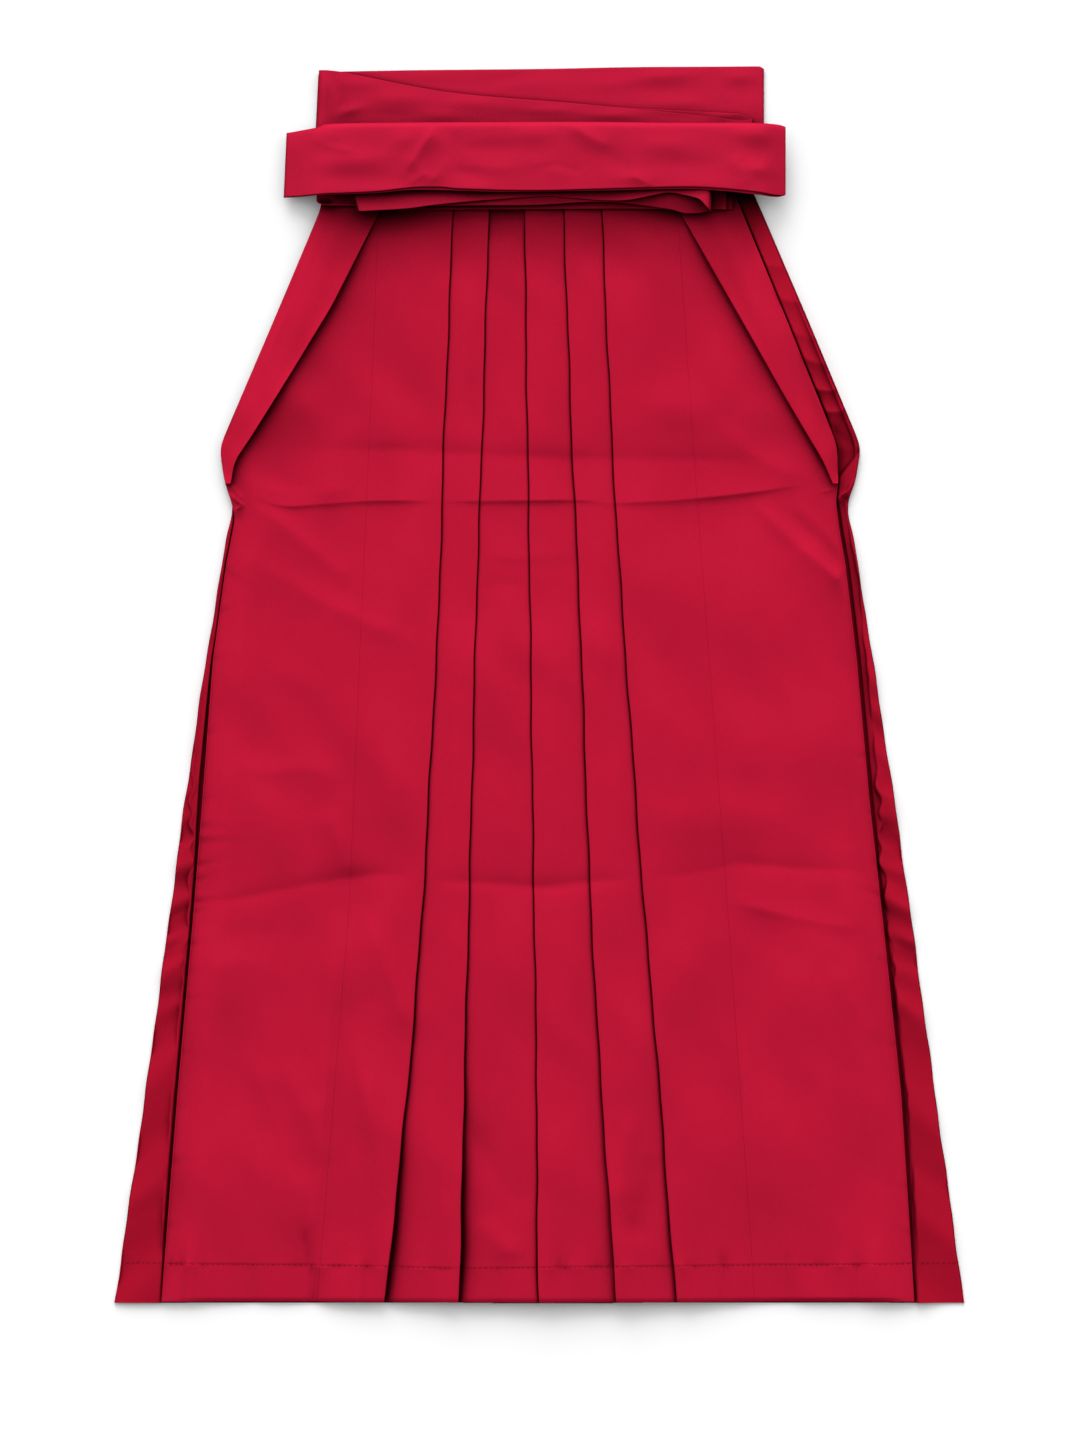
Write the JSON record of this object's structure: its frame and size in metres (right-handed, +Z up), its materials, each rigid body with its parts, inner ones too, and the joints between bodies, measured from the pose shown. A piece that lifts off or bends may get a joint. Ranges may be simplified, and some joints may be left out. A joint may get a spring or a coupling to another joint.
{
  "type": "hakama trousers",
  "caption": "Pleated hakama trousers laid flat with the front up, slanting side openings, and long ties folded across the waist.",
  "frame": {"origin": "on the ground under the middle of the garment as it lies", "axes": "+X towards the wearer's left side, +Y from the hem towards the waist, +Z up out of the front"},
  "size_m": [0.7084, 1.0301, 0.0197],
  "materials": {
    "front_cloth": "smooth twill with a slight sheen",
    "back_cloth": "smooth twill with a slight sheen",
    "tie_cloth": "smooth twill with a slight sheen"
  },
  "bodies": {
    "root": {"front_right_side": "front_cloth", "front_right_centre": "front_cloth", "front_left_centre": "front_cloth", "front_left_side": "front_cloth", "side_fold_right": "front_cloth", "side_fold_left": "front_cloth", "back_right": "back_cloth", "back_left": "back_cloth", "gusset_right": "back_cloth", "gusset_left": "back_cloth", "waistband_back": "tie_cloth", "waistband_front": "tie_cloth", "tie_back": "tie_cloth", "tie_core": "tie_cloth", "tie_inner": "tie_cloth", "tie_front": "tie_cloth"}
  },
  "joints": []
}
